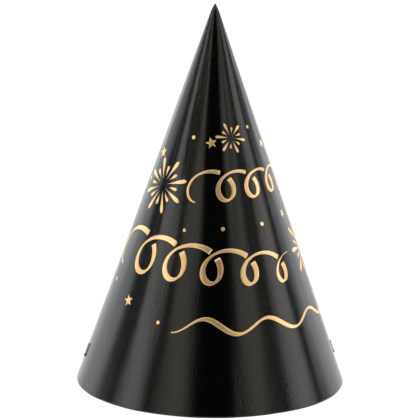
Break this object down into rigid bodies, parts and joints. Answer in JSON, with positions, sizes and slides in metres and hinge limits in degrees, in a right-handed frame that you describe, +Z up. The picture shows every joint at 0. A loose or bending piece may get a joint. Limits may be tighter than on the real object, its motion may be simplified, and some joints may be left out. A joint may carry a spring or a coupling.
{
  "type": "party hat",
  "caption": "Cone party hat of black coated card with gold foil streamers and fireworks, a taped back seam and an elastic chin cord that swings down from the rim.",
  "frame": {"origin": "centre of the rim's plane", "axes": "+Z up along the cone's axis to the tip, the hat's front faces -Y, the seam is at +Y and the cord holes are on +X and -X"},
  "size_m": [0.1133, 0.1139, 0.1603],
  "materials": {
    "card": "black laminated card, satin gloss outside, uncoated off-white inside",
    "tape": "translucent double-sided tape",
    "foil": "stamped metal foil, bright",
    "steel": "flat crimped tinned steel",
    "elastic": "braided round elastic"
  },
  "bodies": {
    "hat": {"cone_card": "card", "seam_tape": "tape", "foil_streamer_upper": "foil", "foil_streamer_lower": "foil", "foil_streamer_wave": "foil", "foil_burst_left": "foil", "foil_burst_right": "foil", "foil_burst_small": "foil", "foil_stars": "foil", "foil_dots": "foil"},
    "left_barb": {"barb_left": "steel", "cord_plug_left": "elastic"},
    "right_barb": {"barb_right": "steel", "cord_plug_right": "elastic"},
    "cord_sides": {"cord_legs": "elastic"},
    "cord_bends": {"cord_folds": "elastic"},
    "chin_cord": {"cord_loop": "elastic"}
  },
  "joints": [
    {"name": "left_barb_swivel", "type": "hinge", "parent": "hat", "child": "left_barb", "pos_m": [-0.053, 0, 0.01037], "axis": [-0.9428, 0, 0.3333], "range_deg": [-90, 90]},
    {"name": "right_barb_swivel", "type": "hinge", "parent": "hat", "child": "right_barb", "pos_m": [0.053, 0, 0.01037], "axis": [0.9428, 0, 0.3333], "range_deg": [-90, 90]},
    {"name": "cord_drop", "type": "hinge", "parent": "hat", "child": "cord_sides", "pos_m": [0, 0, 0.00972], "axis": [-1, 0, 0], "range_deg": [0, 90]},
    {"name": "cord_bend", "type": "hinge", "parent": "cord_sides", "child": "cord_bends", "pos_m": [0, 0.025, 0.00972], "axis": [-1, 0, 0], "range_deg": [-90, 0]},
    {"name": "chin_drop", "type": "hinge", "parent": "cord_bends", "child": "chin_cord", "pos_m": [0, 0.025, 0.0008], "axis": [-1, 0, 0], "range_deg": [-90, 0]}
  ],
  "couplings": [
    {"joint": "cord_bend", "follows": "cord_drop", "ratio": -1},
    {"joint": "chin_drop", "follows": "cord_drop", "ratio": -1}
  ]
}
